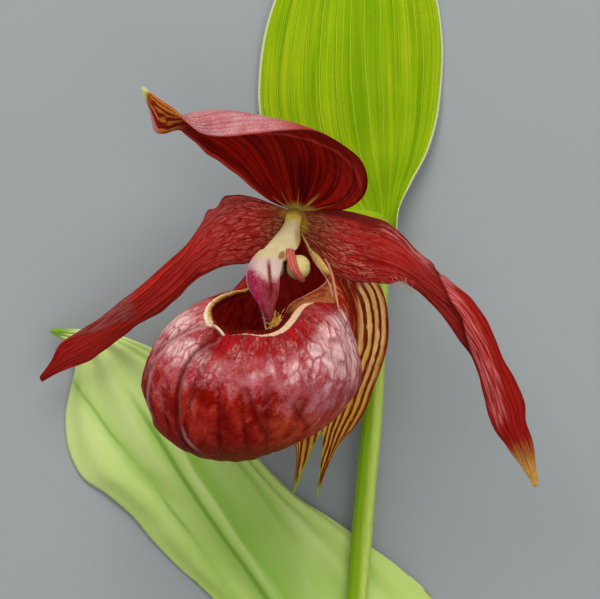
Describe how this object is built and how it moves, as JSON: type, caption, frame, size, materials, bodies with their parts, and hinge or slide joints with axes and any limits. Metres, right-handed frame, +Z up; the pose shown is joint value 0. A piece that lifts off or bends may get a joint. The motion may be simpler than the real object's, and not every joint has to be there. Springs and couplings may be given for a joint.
{
  "type": "slipper orchid stem in flower",
  "caption": "Picked stem of a red slipper orchid lying on its back: a veined hollow pouch, a hooded sepal, drooping petals, a striped lower sepal and pleated green leaves.",
  "frame": {"origin": "centre of the bounding box, on the surface the picked stem lies on", "axes": "+Z up, towards the side the flower faces; +Y along the stem towards the bract, so the cut end of the stem points to -Y"},
  "size_m": [0.102, 0.2146, 0.0608],
  "materials": {
    "stem": "green, finely hairy stem",
    "ovary": "green ribbed ovary",
    "leaf": "pale green pleated leaf",
    "bract": "bright green veined bract",
    "dorsal_sepal": "dark red veined sepal, pink outside",
    "petal": "red veined petal",
    "synsepal": "yellow sepal with dark red stripes",
    "lip": "glossy red pouch, mottled pink and white",
    "column": "cream column",
    "staminode": "white and magenta shield",
    "anther": "yellow anther with a red filament"
  },
  "bodies": {
    "root": {"stem": "stem", "ovary": "ovary", "leaf": "leaf", "floral_bract": "bract", "dorsal_sepal": "dorsal_sepal", "petal_left": "petal", "petal_right": "petal", "synsepal": "synsepal", "lip": "lip", "column": "column", "stigma": "column", "staminode": "staminode", "stamen_left": "anther", "stamen_right": "anther"}
  },
  "joints": []
}
